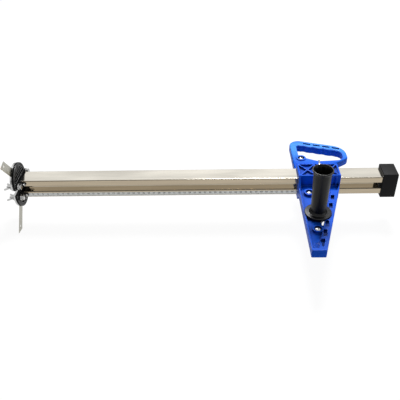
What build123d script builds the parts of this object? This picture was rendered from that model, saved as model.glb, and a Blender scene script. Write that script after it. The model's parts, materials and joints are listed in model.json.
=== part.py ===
"""Double-sided drywall cutter: two flat steel tubes with a board gap between them, a knife on
each tube's end, and a blue sliding fence with a loop handle and an upright hand grip.

Frame: millimetres, +Z up. X = 0 is the plane of the two blades and X runs along the tubes
towards the end cap. Y = 0 is the tubes' centre line, and Z = 0 the middle of the board gap.
"""
import os
from math import cos, radians, sin, tan

from build123d import *

os.makedirs("parts", exist_ok=True)

# Tubes, and the gap that the board lies in
tube_length = 715.0
tube_depth = 35.0
tube_height = 13.0
tube_wall = 1.2
tube_corner = 1.6
board_gap = 12.0

# Snap-off blades, each in the plane X = 0 and leaning towards the user
blade_width = 18.0
blade_thickness = 0.5
blade_length = 109.0
blade_angle = 50.3
blade_snap_angle = 60.0
blade_bevel = 1.6
blade_edge_thickness = 0.06
blade_hole_radius = 2.1
blade_hole_inset = 10.0
blade_centre_height = 16.5
blade_score_pitch = 10.0
blade_score_first = 20.0
blade_score_count = 7
blade_score_width = 0.35
blade_score_depth = 0.12
blade_tip_gap = 0.6
blade_fit = 0.05

# Knife holders on the tube ends
holder_bolt_margin = 6.5
holder_thickness = 5.5
holder_web = 2.2
holder_margin = 7.5
holder_rib = 1.5
holder_rib_pitch = 5.6
holder_rib_count = 3
holder_boss_radius = 6.4
holder_boss_rise = 4.2
holder_neck = 8.3
holder_neck_inset = 1.0
holder_cheek = 2.4
holder_cheek_height = 7.0
holder_screw_reach = 13.0
holder_chamfer = 0.8
plug_length = 30.0
plug_fit = 0.1

# Clamp plates, bolts and wing nuts that hold the blades
clamp_bolt_margin = 5.8
clamp_thickness = 3.8
clamp_chamfer = 0.6
bolt_tube_gap = 9.5
bolt_radius = 2.5
bolt_hole_radius = 2.75
bolt_head_width = 10.0
bolt_head_height = 4.4
bolt_head_chamfer = 0.5
bolt_tail = 2.0
washer_thickness = 1.4
head_washer_radius = 6.3
nut_washer_radius = 6.0
wing_nut_hub_radius = 4.6
wing_nut_hub_height = 5.6
wing_nut_height = 10.5
wing_nut_span = 23.0
wing_nut_thickness = 2.2
wing_nut_hub_chamfer = 0.6
wing_root_share = 0.34
wing_tip_share = 0.8
wing_corner_shares = (0, 0.4, 1.6, 0.5, 0.5, 0.8, 0)
thread_play = 0.05

# Screws that hold the tubes on the plugs and in the cap
fixing_screw_radius = 1.75
fixing_screw_length = 9.0
fixing_head_radius = 2.6
fixing_head_height = 1.8
fixing_cross_share = 0.6
cap_screw_length = 8.0

# End cap
cap_length = 28.7
cap_wall = 2.55
cap_cover = 7.05
cap_pocket = 18.5
cap_fit = 0.15
cap_fillet = 1.6
cap_tongue = 5.0
cap_tongue_inset = 2.0
cap_tongue_fillet = 1.8

# Sliding fence body: two moulded halves that meet at Z = 0
fence_setback = 179.5
slide_gap = 0.3
body_thickness = 16.0
box_width = 80.3
box_inset = 0.8
box_wall = 3.7
box_rib_height = 4.5
box_top = 3.7
box_rim = 3.4
box_rib = 2.6
box_fillet = 1.4
box_front_rib = 3.0
box_front_rib_proud = 1.6
box_front_rib_shares = (0.8, 0.9)
gusset_width = 3.4
gusset_reach = 14.5
front_reach = 190.0
tip_width = 25.0
tip_fillet = 2.2
rim_width = 2.6
plate_recess = 3.5
tip_rim = 6.0
band_width = 14.5
band_start = 21.0
pocket_count = 6
pocket_width = 6.8
pocket_first_length = 14.0
pocket_last_length = 20.0
pocket_depth = 5.2
pocket_edge_inset = 9.3
pocket_first_setback = 42.9
pocket_last_setback = 170.3
pocket_taper = 2.2
pocket_lean_share = 0.6
mark_radius = 4.4
mark_depth = 0.5
mark_inset = 9.6
mark_setback = 16.8

# Loop handle at the far end of the body
handle_reach = 150.1
handle_tilt = 17.5
handle_width = 113.8
handle_bar = 20.3
handle_near_corner = 26.3
handle_near_rise = 23.5
handle_near_radius = 14.0
handle_corner_radius = 19.0
handle_far_radius = 34.0
handle_inner_share = 0.13
handle_fillet = 3.2
pillar_left = 13.9
pillar_right = 10.2
rear_web = 39.3
opening_turn = 52.0
opening_left_rise = 19.7
opening_right_lift = 0.9
opening_left_radius = 14.0
opening_turn_radius = 30.0
opening_near_share = 0.45
opening_far_radius = 12.0
opening_corner_radius = 5.0
opening_chamfer = 1.2
scallop_radius = 11.5
scallop_depth = 1.5
scallop_count = 4
scallop_pitch = 19.5
slot_count = 4
slot_length = 15.0
slot_width = 4.6
slot_corner = 0.8
slot_depth = 6.5
slot_pitch = 20.2
slot_start = 36.9

# Screws and nuts that join the two halves along the fence
boss_inset = 17.6
boss_radius = 9.6
boss_cup_radius = 6.6
boss_rise = 2.0
boss_floor = 6.5
boss_setbacks = (134.8, 27.4, -92.7)
joint_screw_radius = 2.5
joint_head_radius = 4.8
joint_head_height = 3.2
joint_nut_width = 8.0
joint_nut_height = 4.0
joint_nut_fit = 0.15
joint_screw_tail = 1.5
cross_length = 5.2
cross_width = 1.1
cross_depth = 1.3
dome_shares = (0.62, 0.88)

# Upright grip and its bolt
grip_inset = 24.7
grip_setback = 89.0
grip_height = 92.0
grip_flange_radius = 24.0
grip_flange = 3.0
grip_base_radius = 13.5
grip_top_radius = 15.7
grip_rim_radius = 18.4
grip_rim_height = 2.6
grip_wall = 1.9
grip_floor = 5.0
grip_root = 3.0
grip_edge = 0.7
grip_pad_radius = 17.0
grip_bolt_radius = 3.0
grip_head_width = 10.0
grip_head_height = 4.0
grip_washer_radius = 8.0
grip_washer_thickness = 1.5
grip_nut_width = 10.0
grip_nut_height = 5.0
grip_nut_floor = 4.0
grip_bolt_tail = 1.0
window_far = (33.0, 97.5)
window_right = (38.4, 92.5)
window_near = (28.4, 125.5)
window_left = (26.4, 112.0)
window_fillet = 1.2

# Lock screw on top of the body
lock_inset = 42.0
lock_boss_radius = 7.5
lock_boss_rise = 1.5
lock_insert_radius = 4.6
lock_insert_length = 6.5
lock_screw_radius = 3.0
lock_hub_radius = 5.0
lock_hub_height = 6.4
lock_head_height = 12.5
lock_span = 27.0
lock_wing_thickness = 2.6
lock_head_gap = 1.5
lock_pad_radius = 4.4
lock_pad_height = 1.8
lock_pad_lift = 0.5

hole_play = 0.15
overrun = 5.0

# Places that follow from the sizes above
half_gap = board_gap / 2
tube_centre = half_gap + tube_height / 2
tube_top = half_gap + tube_height
holder_face = -(blade_thickness / 2 + blade_fit)
holder_back = holder_face + holder_thickness
head_face = holder_back + holder_boss_rise + washer_thickness
nut_face = holder_face - clamp_thickness - washer_thickness
tube_start = holder_back + holder_neck
tube_end = tube_start + tube_length
bolt_spread = tube_depth / 2 + bolt_tube_gap
holder_radius = bolt_spread + holder_bolt_margin
clamp_radius = bolt_spread + clamp_bolt_margin
cap_depth = tube_depth + 2 * (cap_fit + cap_wall)
cap_height = 2 * (tube_top + cap_fit + cap_cover)
cap_tongue_depth = tube_depth - 2 * cap_tongue_inset
cap_end = tube_end - cap_pocket + cap_length
cap_start = cap_end - cap_length
half_body = body_thickness / 2
plate_floor = half_body - plate_recess
box_half_depth = tube_depth / 2 + slide_gap + box_wall
box_floor = tube_top + slide_gap + box_top
box_height = box_floor + box_rib_height
tip_y = -box_half_depth - front_reach
fence_x = tube_end - fence_setback


def at_fence(u, y):
    """Plan point u to the right of the fence edge."""
    return (fence_x + u, y)


def right_edge(y):
    """Distance from the fence edge to the slanted right edge at y."""
    share = (-box_half_depth - y) / front_reach
    return box_width + (tip_width - box_width) * share


def lower(shape):
    """The piece's twin on the underside of the gap."""
    return mirror(shape, about=Plane.XY)


def group(shapes):
    """Separate solids that share one node."""
    return Compound(children=[solid for shape in shapes for solid in shape.solids()])


def rod(radius, start, end, axis_point, axis="X"):
    """Round bar along X, Y or Z from start to end through axis_point."""
    planes = {"X": Plane.YZ, "Y": Plane.XZ, "Z": Plane.XY}
    plane = planes[axis].offset(-end if axis == "Y" else start)
    return extrude(plane * Pos(*axis_point) * Circle(radius), end - start)


def prism(width, start, end, axis_point, axis="X"):
    """Hexagonal bar, width across flats, along X or Z."""
    planes = {"X": Plane.YZ, "Z": Plane.XY}
    hexagon = RegularPolygon(width / 2, side_count=6, major_radius=False)
    return extrude(planes[axis].offset(start) * Pos(*axis_point) * hexagon, end - start)


def tube_section(depth, height, corner):
    return Plane.YZ * Pos(0, tube_centre) * RectangleRounded(depth, height, corner)


def tube_envelope(play, start, end):
    """Space that the upper tube fills, with play all round."""
    section = tube_section(tube_depth + 2 * play, tube_height + 2 * play, tube_corner + play)
    return Pos(start, 0, 0) * extrude(section, end - start)


# Blade frame: x towards the tail, y towards the spine
tail_y = -cos(radians(blade_angle))
tail_z = sin(radians(blade_angle))
blade_plane = Plane(origin=(0, 0, blade_centre_height), x_dir=(0, tail_y, tail_z), z_dir=(1, 0, 0))
snap_slant = blade_width / tan(radians(blade_snap_angle))
spine_front = (blade_tip_gap - blade_centre_height - blade_width / 2 * tail_y) / tail_z
edge_front = spine_front - snap_slant


def make_blade():
    """Strip with a ground edge on the far side, cut to a parallelogram at the snap angle."""
    half_width = blade_width / 2
    half_thickness = blade_thickness / 2
    half_edge = blade_edge_thickness / 2
    section = Polygon(
        (half_thickness, half_width),
        (-half_thickness, half_width),
        (-half_thickness, blade_bevel - half_width),
        (-half_edge, -half_width),
        (half_edge, -half_width),
        (half_thickness, blade_bevel - half_width),
        align=None,
    )
    strip = extrude(Plane(origin=(0, 0, 0), x_dir=(0, 0, 1), z_dir=(1, 0, 0)) * section, blade_length)
    strip = Pos(edge_front, 0, 0) * strip
    outline = Polygon(
        (spine_front, half_width),
        (edge_front, -half_width),
        (edge_front + blade_length - snap_slant, -half_width),
        (edge_front + blade_length, half_width),
        align=None,
    )
    strip = strip & extrude(outline, blade_thickness, both=True)
    hole_x = edge_front + blade_length - snap_slant / 2 - blade_hole_inset
    strip = strip - Pos(hole_x, 0, -blade_thickness) * extrude(Circle(blade_hole_radius), 2 * blade_thickness)
    middle_front = edge_front + snap_slant / 2
    for index in range(blade_score_count):
        score = Box(blade_score_width, 2 * blade_width, 2 * blade_score_depth)
        score = Rot(0, 0, blade_snap_angle - 90) * score
        place = middle_front + blade_score_first + blade_score_pitch * index
        strip = strip - Pos(place, 0, -half_thickness) * score
    return blade_plane.location * strip


def gap_side_cut(shape):
    """Keeps a round piece clear of the board gap."""
    keep_height = tube_centre + holder_radius + overrun - half_gap
    keep = Rectangle(2 * holder_radius + 2 * overrun, keep_height, align=(Align.CENTER, Align.MIN))
    return shape & (Pos(0, half_gap) * keep)


def bolt_places():
    return [(side * bolt_spread, tube_centre) for side in (-1, 1)]


def make_clamp_plate():
    """Round steel plate, cut straight along the board gap."""
    disc = gap_side_cut(Pos(0, tube_centre) * Circle(clamp_radius))
    for place in bolt_places():
        disc = disc - Pos(*place) * Circle(bolt_hole_radius)
    plate = extrude(Plane.YZ.offset(holder_face - clamp_thickness) * disc, clamp_thickness)
    outer = plate.edges().filter_by(GeomType.CIRCLE).group_by(SortBy.RADIUS)[-1]
    return chamfer(outer, clamp_chamfer)


def make_holder():
    """Ribbed moulding: a disc behind the blade, a neck and a plug that fills the tube's end."""
    disc = gap_side_cut(Pos(0, tube_centre) * Circle(holder_radius))
    body = extrude(Plane.YZ.offset(holder_face) * disc, holder_thickness)
    rims = body.edges().filter_by(GeomType.CIRCLE).group_by(Axis.X)
    body = chamfer(rims[0] + rims[-1], holder_chamfer)

    inner = Pos(0, tube_centre) * Circle(holder_radius - holder_margin)
    floor_width = 2 * (holder_radius + overrun)
    above = Rectangle(floor_width, 2 * holder_radius, align=(Align.CENTER, Align.MIN))
    recess = inner & (Pos(0, tube_top) * above)
    for index in range(holder_rib_count):
        rib_z = tube_top + holder_rib_pitch * (index + 1)
        recess = recess - Pos(0, rib_z) * Rectangle(floor_width, holder_rib)
    web_plane = Plane.YZ.offset(holder_face + holder_web)
    body = body - extrude(web_plane * recess, holder_thickness)

    neck_depth = tube_depth - 2 * holder_neck_inset
    neck_height = tube_height - 2 * holder_neck_inset
    neck_section = Pos(0, tube_centre) * Rectangle(neck_depth, neck_height)
    neck = extrude(web_plane * neck_section, holder_thickness - holder_web + holder_neck)
    plug_depth = tube_depth - 2 * (tube_wall + plug_fit)
    plug_height = tube_height - 2 * (tube_wall + plug_fit)
    plug_section = Pos(0, tube_centre) * RectangleRounded(plug_depth, plug_height, tube_corner)
    plug = extrude(Plane.YZ.offset(holder_back) * plug_section, holder_neck + plug_length)
    plug = chamfer(plug.faces().sort_by(Axis.X)[-1].edges(), holder_chamfer)

    lug_round = holder_cheek_height / 2
    lug_y = -(tube_depth / 2 + plug_fit + holder_cheek)
    lug_depth = holder_cheek + plug_fit + holder_neck_inset
    lug_face = Pos(holder_screw_reach / 2, 0) * Rectangle(holder_screw_reach, holder_cheek_height)
    lug_face = lug_face + Pos(holder_screw_reach, 0) * Circle(lug_round)
    lug_plane = Plane(origin=(holder_back, lug_y, tube_centre), x_dir=(1, 0, 0), z_dir=(0, -1, 0))
    lug = extrude(lug_plane * lug_face, -lug_depth)
    lug = lug - tube_envelope(plug_fit, tube_start, tube_end)

    body = body + neck + plug + lug
    for place in bolt_places():
        body = body + rod(holder_boss_radius, holder_face + holder_web, holder_back + holder_boss_rise, place)
    channel = Box(2 * blade_length, blade_width + 4 * blade_fit, blade_thickness + 2 * blade_fit)
    body = body - blade_plane.location * channel
    for place in bolt_places():
        body = body - rod(bolt_hole_radius, -overrun, head_face + overrun, place)
    pilot_depth = fixing_screw_length + hole_play
    pilot = rod(fixing_screw_radius, lug_y, lug_y + pilot_depth, (holder_screw_x(), tube_centre), "Y")
    return body - pilot


def holder_screw_x():
    return holder_back + holder_screw_reach


def cap_screw_x():
    return cap_start + (tube_end - cap_start) / 2


def make_tube():
    """Flat tube with a screw hole in its front wall at the knife end and its rear wall at the cap."""
    bore_corner = tube_corner - tube_wall
    outer = tube_section(tube_depth, tube_height, tube_corner)
    inner = tube_section(tube_depth - 2 * tube_wall, tube_height - 2 * tube_wall, bore_corner)
    tube = Pos(tube_start, 0, 0) * extrude(outer - inner, tube_length)
    hole = fixing_screw_radius + hole_play
    front = -tube_depth / 2
    tube = tube - rod(hole, front - tube_wall, front + 2 * tube_wall, (holder_screw_x(), tube_centre), "Y")
    rear = tube_depth / 2
    tube = tube - rod(hole, rear - 2 * tube_wall, rear + tube_wall, (cap_screw_x(), tube_centre), "Y")
    return tube


def screw_head(radius, height):
    """Low domed head on Z = 0, as a stack of a cylinder and two cones."""
    side = height / 2
    wide, tall = dome_shares
    outline = Polygon(
        (0, 0),
        (radius, 0),
        (radius, side),
        (radius * wide, height * tall),
        (radius * wide / 2, height),
        (0, height),
        align=None,
    )
    return revolve(Plane.XZ * outline, Axis.Z)


def cross_recess(share, top):
    """Cross-shaped cut for a driver, down from top; share scales it to a smaller screw."""
    depth = cross_depth * share
    on_floor = (Align.CENTER, Align.CENTER, Align.MIN)
    arm = Box(cross_length * share, cross_width * share, depth + overrun, align=on_floor)
    return Pos(0, 0, top - depth) * (arm + Rot(0, 0, 90) * arm)


def make_fixing_screw(x, seat, length, side):
    """Small round-headed screw along Y; side is -1 at the front and 1 at the rear."""
    screw = extrude(Circle(fixing_screw_radius), -length) + screw_head(fixing_head_radius, fixing_head_height)
    screw = screw - cross_recess(fixing_cross_share, fixing_head_height)
    return Pos(x, seat, tube_centre) * Rot(-90 * side, 0, 0) * screw


def make_end_cap():
    """Moulded cap with a pocket for each tube and a short tongue in the gap."""
    body = Box(cap_length, cap_depth, cap_height, align=(Align.MIN, Align.CENTER, Align.CENTER))
    body = fillet(body.edges(), cap_fillet)
    body = Pos(cap_start, 0, 0) * body
    tongue_length = cap_tongue + cap_fillet + cap_fillet
    tongue = Box(
        tongue_length,
        cap_tongue_depth,
        board_gap - 2 * cap_fit,
        align=(Align.MIN, Align.CENTER, Align.CENTER),
    )
    lead_edges = tongue.faces().sort_by(Axis.X)[0].edges().filter_by(Axis.Y)
    tongue = fillet(lead_edges, cap_tongue_fillet)
    body = body + Pos(cap_start - cap_tongue, 0, 0) * tongue
    pocket = tube_envelope(cap_fit, cap_start - overrun, tube_end)
    body = body - pocket - lower(pocket)
    for z in (tube_centre, -tube_centre):
        start = tube_depth / 2
        body = body - rod(fixing_screw_radius + hole_play, start, cap_depth, (cap_screw_x(), z), "Y")
    return body


def make_bolt(place):
    """Hexagon bolt along X with its head on the tube side."""
    tail = nut_face - wing_nut_hub_height - bolt_tail
    shank = rod(bolt_radius, tail, head_face, place)
    head = prism(bolt_head_width, head_face, head_face + bolt_head_height, place)
    head = chamfer(head.faces().sort_by(Axis.X)[-1].edges(), bolt_head_chamfer)
    return shank + head


def make_washer(radius, start, place):
    ring = Circle(radius) - Circle(bolt_hole_radius)
    return extrude(Plane.YZ.offset(start) * Pos(*place) * ring, washer_thickness)


def make_wings(hub_radius, hub_height, height, span, thickness, bore, hub_chamfer):
    """Wing head on +Z: a hub with two flared wings in the XZ plane."""
    half_span = span / 2
    hub = extrude(Circle(hub_radius), hub_height)
    hub = chamfer(hub.faces().sort_by(Axis.Z)[-1].edges(), hub_chamfer)
    rise = hub_height * wing_root_share
    tip = thickness * wing_tip_share
    wing_line = FilletPolyline(
        (0, 0),
        (hub_radius, 0),
        (half_span - tip, height - 2 * rise),
        (half_span, height),
        (half_span - 2 * tip, height),
        (hub_radius, hub_height),
        (0, hub_height),
        radius=[share * thickness for share in wing_corner_shares],
        close=True,
    )
    wing = extrude(Plane.XZ * make_face(wing_line), thickness / 2, both=True)
    body = hub + wing + mirror(wing, about=Plane.YZ)
    if bore > 0:
        body = body - Pos(0, 0, -overrun) * extrude(Circle(bore), height + 2 * overrun)
    return body


def make_wing_nut(place):
    """Wing nut whose wings point away from the tubes."""
    nut = make_wings(
        wing_nut_hub_radius,
        wing_nut_hub_height,
        wing_nut_height,
        wing_nut_span,
        wing_nut_thickness,
        bolt_radius + thread_play,
        wing_nut_hub_chamfer,
    )
    seat = Plane(origin=(nut_face, *place), x_dir=(0, 1, 0), z_dir=(-1, 0, 0))
    return seat.location * nut


def boss_places():
    return [(boss_inset, -box_half_depth - setback) for setback in boss_setbacks]


def grip_place():
    return (grip_inset, -box_half_depth - grip_setback)


def far_edge(u):
    """Y of the handle's far edge at u, before its corners are rounded."""
    return handle_reach - tan(radians(handle_tilt)) * u


def bar_edge(u):
    """Y of the opening's far edge at u."""
    return far_edge(u) - handle_bar / cos(radians(handle_tilt))


def near_edge(u):
    """Y of the handle's near edge at u, right of the box."""
    share = (u - box_width) / (handle_width - box_width)
    return box_half_depth + handle_near_corner + handle_near_rise * share


def opening_outline():
    """Line round the hand opening, without its finger scallops."""
    opening_near = box_half_depth + rear_web
    opening_right = handle_width - pillar_right
    right_near = near_edge(opening_right) + opening_right_lift
    right_side = bar_edge(opening_right) - right_near
    return FilletPolyline(
        at_fence(pillar_left, bar_edge(pillar_left)),
        at_fence(opening_right, bar_edge(opening_right)),
        at_fence(opening_right, right_near),
        at_fence(opening_turn, opening_near),
        at_fence(pillar_left, opening_near + opening_left_rise),
        radius=[
            opening_corner_radius,
            opening_far_radius,
            opening_near_share * right_side,
            opening_turn_radius,
            opening_left_radius,
        ],
        close=True,
    )


def handle_opening():
    """Face of the hand opening, with the finger scallops along its far side."""
    opening = make_face(opening_outline())
    opening_right = handle_width - pillar_right
    first = (pillar_left + opening_right - scallop_pitch * (scallop_count - 1)) / 2
    inset = scallop_radius - scallop_depth
    for index in range(scallop_count):
        u = first + scallop_pitch * index
        across = inset * sin(radians(handle_tilt))
        back = inset * cos(radians(handle_tilt))
        centre = at_fence(u - across, bar_edge(u) - back)
        opening = opening + Pos(*centre) * Circle(scallop_radius)
    return opening


def handle_half():
    """Upper half of the loop handle and the web that joins it to the box."""
    outline = FilletPolyline(
        at_fence(0, 0),
        at_fence(0, far_edge(0)),
        at_fence(handle_width, far_edge(handle_width)),
        at_fence(handle_width, near_edge(handle_width)),
        at_fence(box_width, near_edge(box_width)),
        at_fence(box_width, 0),
        radius=[
            0,
            handle_corner_radius,
            handle_far_radius,
            handle_near_radius,
            handle_inner_share * (handle_width - box_width),
            0,
        ],
        close=True,
    )
    body = extrude(make_face(outline), half_body)
    rounded = [e for e in body.edges().group_by(Axis.Z)[-1] if e.center().Y > box_half_depth / 2]
    body = fillet(rounded, handle_fillet)

    opening = handle_opening()
    body = body - extrude(opening, body_thickness, both=True)
    rim = [e for e in body.edges().group_by(Axis.Z)[-1] if borders(e, opening)]
    body = chamfer(rim, opening_chamfer)

    for index in range(slot_count):
        u = slot_start + slot_pitch * cos(radians(handle_tilt)) * index
        y = (far_edge(u) + bar_edge(u)) / 2
        slot = Rot(0, 0, -handle_tilt) * RectangleRounded(slot_length, slot_width, slot_corner)
        body = body - Pos(*at_fence(u, y), half_body - slot_depth) * extrude(slot, slot_depth + overrun)
    return body


def borders(edge, face):
    """True for an edge that lies above or below the outline of a face in plan."""
    middle = edge @ 0.5
    return face.distance_to(Vertex(middle.X, middle.Y, 0)) < hole_play


def plate_half():
    """Upper half of the triangular front plate: raised rim, recessed face and a pocketed band."""
    tip_u = tip_width
    outline = FilletPolyline(
        at_fence(0, 0),
        at_fence(box_width, 0),
        at_fence(box_width, -box_half_depth),
        at_fence(tip_u, tip_y),
        at_fence(0, tip_y),
        radius=[0, 0, 0, tip_fillet, tip_fillet],
        close=True,
    )
    body = extrude(make_face(outline), half_body)
    band_y = -box_half_depth - band_start
    recess_end = tip_y + tip_rim
    recess = Polygon(
        at_fence(rim_width, 0),
        at_fence(rim_width, recess_end),
        at_fence(right_edge(recess_end) - band_width, recess_end),
        at_fence(right_edge(band_y) - band_width, band_y),
        at_fence(right_edge(band_y) - rim_width, band_y),
        at_fence(right_edge(-box_half_depth) - rim_width, -box_half_depth),
        at_fence(box_width - rim_width, 0),
        align=None,
    )
    body = body - Pos(0, 0, plate_floor) * extrude(recess, plate_recess + overrun)
    for index in range(pocket_count):
        share = index / (pocket_count - 1)
        y = -box_half_depth - pocket_first_setback - (pocket_last_setback - pocket_first_setback) * share
        length = pocket_first_length + (pocket_last_length - pocket_first_length) * share
        u = right_edge(y) - pocket_edge_inset
        lean = (right_edge(y + length / 2) - right_edge(y - length / 2)) / 2 * pocket_lean_share
        taper = pocket_taper if index == pocket_count - 1 else 0
        half_width = pocket_width / 2
        pocket = Polygon(
            at_fence(u + lean - half_width - taper, y + length / 2),
            at_fence(u - lean - half_width + taper, y - length / 2),
            at_fence(u - lean + half_width - taper, y - length / 2),
            at_fence(u + lean + half_width, y + length / 2),
            align=None,
        )
        body = body - Pos(0, 0, half_body - pocket_depth) * extrude(pocket, pocket_depth + overrun)
    mark = Circle(mark_radius)
    mark_place = at_fence(mark_inset, tip_y + mark_setback)
    body = body - Pos(*mark_place, plate_floor - mark_depth) * extrude(mark, mark_depth + overrun)
    return body


def front_gussets():
    """Sloping walls that run from the box's front down to the plate, one along each edge."""
    back = box_wall / 2 - box_half_depth
    front = -box_half_depth - gusset_reach
    crest = box_height - box_fillet
    slope = Plane.YZ * Polygon(
        (back, plate_floor),
        (back, crest),
        (-box_half_depth, crest),
        (front, half_body),
        (front, plate_floor),
        align=None,
    )
    walls = []
    for far_u, near_u, width in (
        (box_inset, box_inset, gusset_width),
        (right_edge(back), right_edge(front), -gusset_width),
    ):
        wall = Polygon(
            at_fence(far_u, back),
            at_fence(near_u, front),
            at_fence(near_u + width, front),
            at_fence(far_u + width, back),
            align=None,
        )
        walls.append(extrude(wall, box_height) & extrude(Pos(fence_x, 0, 0) * slope, box_width))
    return walls


def box_half(is_upper):
    """Upper half of the sleeve round the tube, with crossed ribs on top."""
    length = box_width - box_inset
    box = Box(length, 2 * box_half_depth, box_height, align=(Align.MIN, Align.CENTER, Align.MIN))
    box = fillet(box.faces().sort_by(Axis.Z)[-1].edges(), box_fillet)
    box = Pos(fence_x + box_inset, 0, 0) * box

    left = box_inset + box_rim
    right = box_width - box_rim
    front = box_rim - box_half_depth
    back = box_half_depth - box_rim
    recess = Polygon(
        at_fence(left, front),
        at_fence(right, front),
        at_fence(right, back),
        at_fence(left, back),
        align=None,
    )
    bay = lock_inset - lock_boss_radius
    for start, end in ((left, bay), (lock_inset + lock_boss_radius, right)):
        for low, high in ((front, back), (back, front)):
            arm = Line(at_fence(start, low), at_fence(end, high))
            middle = at_fence((start + end) / 2, 0)
            angle = Vector(end - start, high - low).get_signed_angle(Vector(1, 0, 0))
            rib = Rot(0, 0, -angle) * Rectangle(arm.length + 2 * box_rib, box_rib)
            recess = recess - Pos(*middle) * rib
    for u in (bay, lock_inset + lock_boss_radius):
        recess = recess - Pos(*at_fence(u, 0)) * Rectangle(box_rib, 2 * box_half_depth)
    recess = recess - Pos(*at_fence(lock_inset, 0)) * Circle(lock_boss_radius)
    box = box - Pos(0, 0, box_floor) * extrude(recess, box_rib_height + overrun)

    for share in box_front_rib_shares:
        rib = Box(
            box_front_rib,
            box_front_rib_proud + box_wall / 2,
            box_height - plate_floor - 2 * box_fillet,
            align=(Align.CENTER, Align.MAX, Align.MIN),
        )
        box = box + Pos(*at_fence(box_width * share, box_wall / 2 - box_half_depth), plate_floor) * rib
    for gusset in front_gussets():
        box = box + gusset

    if is_upper:
        boss = Circle(lock_boss_radius)
        rise = box_height - box_floor + lock_boss_rise
        box = box + Pos(*at_fence(lock_inset, 0), box_floor) * extrude(boss, rise)
    return box


def make_housing(is_upper):
    """One moulded half of the sliding body, modelled above the gap's middle plane."""
    body = plate_half() + box_half(is_upper) + handle_half()
    for u, y in boss_places():
        body = body + Pos(*at_fence(u, y)) * extrude(Circle(boss_radius), half_body + boss_rise)
    grip_u, grip_y = grip_place()
    body = body + Pos(*at_fence(grip_u, grip_y)) * extrude(Circle(grip_pad_radius), half_body)

    corners = (window_left, window_far, window_right, window_near)
    window = FilletPolyline(
        *[at_fence(u, -box_half_depth - setback) for u, setback in corners],
        radius=window_fillet,
        close=True,
    )
    body = body - extrude(make_face(window), body_thickness, both=True)
    body = body - tube_envelope(slide_gap, fence_x - overrun, fence_x + handle_width)

    cup_top = half_body + boss_rise + overrun
    for u, y in boss_places():
        place = at_fence(u, y)
        body = body - Pos(*place) * rod(joint_screw_radius + hole_play, -overrun, cup_top, (0, 0), "Z")
        if is_upper:
            body = body - rod(boss_cup_radius, boss_floor, cup_top, place, "Z")
        else:
            nut_pocket = joint_nut_width + 2 * joint_nut_fit
            body = body - prism(nut_pocket, boss_floor, cup_top, place, "Z")
    place = at_fence(grip_u, grip_y)
    body = body - rod(grip_bolt_radius + hole_play, -overrun, cup_top, place, "Z")
    if not is_upper:
        nut_pocket = grip_nut_width + 2 * joint_nut_fit
        body = body - prism(nut_pocket, grip_nut_floor, cup_top, place, "Z")
    if is_upper:
        lock_place = at_fence(lock_inset, 0)
        top = box_height + lock_boss_rise
        bore_top = top - lock_insert_length
        body = body - rod(lock_pad_radius + hole_play, tube_top, bore_top, lock_place, "Z")
        body = body - rod(lock_insert_radius, top - lock_insert_length, top + overrun, lock_place, "Z")
        return body
    return lower(body)


def make_joint_screw(u, y):
    """Pan-head cross-recess screw through both halves."""
    tail = -boss_floor - joint_nut_height - joint_screw_tail
    shank = rod(joint_screw_radius, tail, boss_floor, (0, 0), "Z")
    head = screw_head(joint_head_radius, joint_head_height) - cross_recess(1, joint_head_height)
    head = Pos(0, 0, boss_floor) * head
    return Pos(*at_fence(u, y)) * (shank + head)


def make_nut(width, height, bore, start, place):
    nut = prism(width, start, start + height, place, "Z")
    return nut - rod(bore, start - overrun, start + height + overrun, place, "Z")


def make_grip():
    """Tapered open tube with a round flange, bolted down through its floor."""
    base = half_body
    top = base + grip_height
    flange_top = base + grip_flange
    rim_start = top - 2 * grip_rim_height
    inner_base = grip_base_radius - grip_wall
    inner_top = grip_top_radius - grip_wall
    profile = Polygon(
        (0, base),
        (grip_flange_radius, base),
        (grip_flange_radius, flange_top - grip_edge),
        (grip_flange_radius - grip_edge, flange_top),
        (grip_base_radius + grip_root, flange_top),
        (grip_base_radius, flange_top + grip_root),
        (grip_top_radius, rim_start),
        (grip_rim_radius, top - grip_rim_height),
        (grip_rim_radius, top - grip_edge),
        (grip_rim_radius - grip_edge, top),
        (grip_rim_radius - grip_wall, top),
        (inner_top, rim_start),
        (inner_base, base + grip_floor),
        (0, base + grip_floor),
        align=None,
    )
    body = revolve(Plane.XZ * profile, Axis.Z)
    body = body - rod(grip_bolt_radius + hole_play, base - overrun, base + grip_floor + overrun, (0, 0), "Z")
    return Pos(*at_fence(*grip_place())) * body


def make_grip_bolt():
    """Hexagon bolt down the inside of the grip, through both halves."""
    head_face = half_body + grip_floor + grip_washer_thickness
    tail = -grip_nut_floor - grip_nut_height - grip_bolt_tail
    place = at_fence(*grip_place())
    shank = rod(grip_bolt_radius, tail, head_face, place, "Z")
    head = prism(grip_head_width, head_face, head_face + grip_head_height, place, "Z")
    head = chamfer(head.faces().sort_by(Axis.Z)[-1].edges(), bolt_head_chamfer)
    return shank + head


def make_grip_washer():
    place = at_fence(*grip_place())
    start = half_body + grip_floor
    ring = Circle(grip_washer_radius) - Circle(grip_bolt_radius + hole_play)
    return Pos(*place, start) * extrude(ring, grip_washer_thickness)


def make_lock_screw():
    """Wing screw that lowers the pad onto the upper tube."""
    top = box_height + lock_boss_rise + lock_head_gap
    head = make_wings(
        lock_hub_radius,
        lock_hub_height,
        lock_head_height,
        lock_span,
        lock_wing_thickness,
        0,
        wing_nut_hub_chamfer,
    )
    head = Pos(0, 0, top) * Rot(0, 0, 90) * head
    shank = rod(lock_screw_radius, tube_top + lock_pad_lift + lock_pad_height, top, (0, 0), "Z")
    return Pos(*at_fence(lock_inset, 0)) * (head + shank)


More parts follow.
